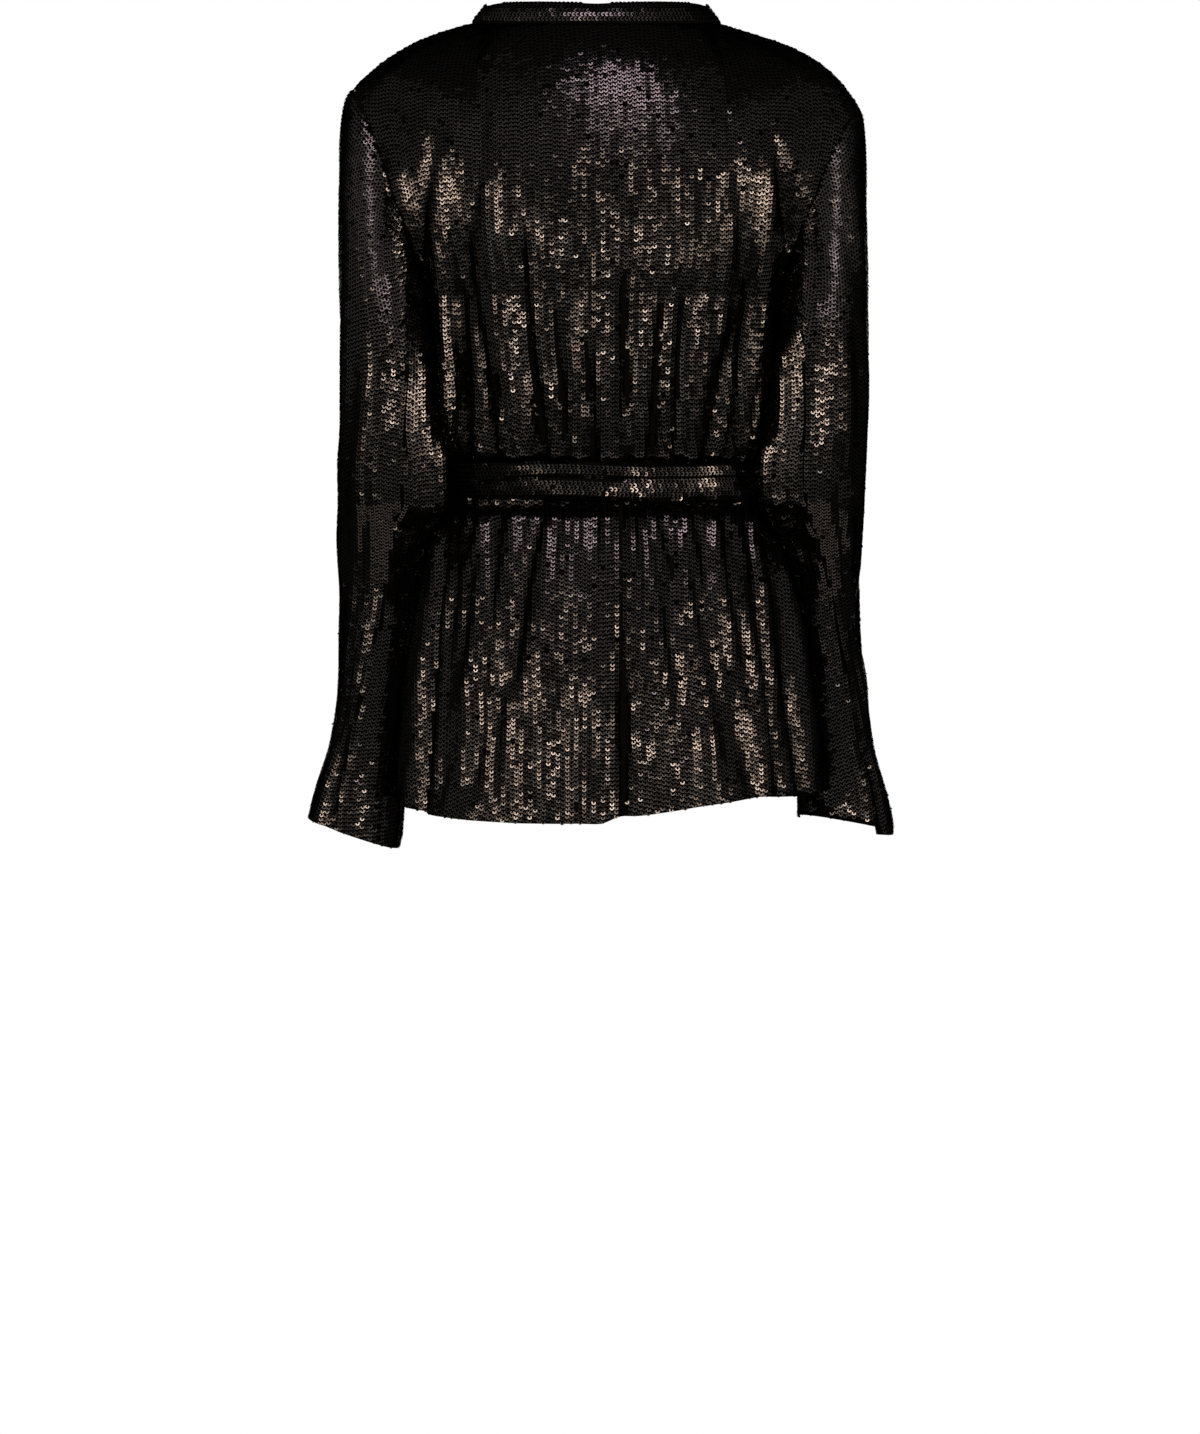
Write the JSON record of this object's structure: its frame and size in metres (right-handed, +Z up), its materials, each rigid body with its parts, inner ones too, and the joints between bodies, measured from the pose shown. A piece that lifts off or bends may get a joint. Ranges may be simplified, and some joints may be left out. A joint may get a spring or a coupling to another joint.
{
  "type": "belted wrap blazer",
  "caption": "Soft belted wrap blazer of black sequinned cloth, long two-piece sleeves, narrow rolled collar, gathered waist and flared skirt, shown as worn",
  "frame": {"origin": "Level with the shoulder at the neck, in the middle of the neck opening, where the wearer's shoulders hold the garment", "axes": "+Z up from hem to neck, +Y out of the wearer's back, -Y out of the front, +X to the wearer's left"},
  "size_m": [0.5138, 0.2828, 0.7228],
  "materials": {
    "sequin_cloth": "black mesh cloth covered in small glossy round sequins",
    "sequin_belt": "black mesh cloth covered in small glossy round sequins"
  },
  "bodies": {
    "root": {"back": "sequin_cloth", "front_left": "sequin_cloth", "front_right": "sequin_cloth", "collar": "sequin_cloth", "sleeve_left_under": "sequin_cloth", "sleeve_left_top": "sequin_cloth", "sleeve_right_under": "sequin_cloth", "sleeve_right_top": "sequin_cloth", "belt": "sequin_belt", "belt_knot": "sequin_belt", "belt_end_left": "sequin_belt", "belt_end_right": "sequin_belt"}
  },
  "joints": []
}
